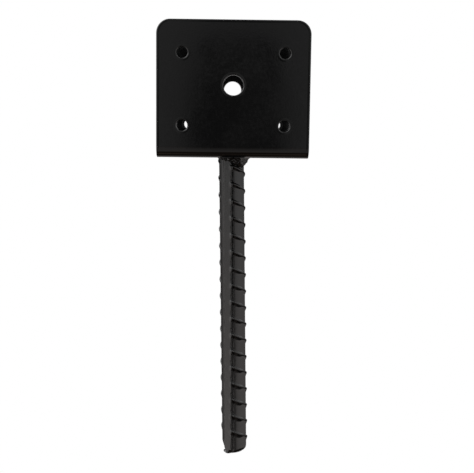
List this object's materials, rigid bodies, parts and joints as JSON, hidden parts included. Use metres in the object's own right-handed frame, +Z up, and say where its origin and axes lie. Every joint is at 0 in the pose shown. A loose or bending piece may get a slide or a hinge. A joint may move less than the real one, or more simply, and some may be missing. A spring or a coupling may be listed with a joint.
{
  "type": "post anchor",
  "caption": "U-shaped steel post bracket welded to a ribbed bar, which is set in concrete to hold the foot of a square timber post above it.",
  "frame": {"origin": "centre of the seat that the post stands on, which is the upper face of the bracket's base", "axes": "+Z up along the bar, towards the open top of the bracket; the two side plates face -Y and +Y; X along the width of the strip"},
  "size_m": [0.09, 0.101, 0.2796],
  "materials": {
    "bracket_paint": "black powder coat, satin",
    "bar_paint": "black powder coat over hot-rolled ribbed bar, semi-gloss",
    "weld_paint": "black powder coat over a rough weld bead"
  },
  "bodies": {
    "root": {"u_bracket": "bracket_paint", "ribbed_bar": "bar_paint", "fillet_weld": "weld_paint"}
  },
  "joints": []
}
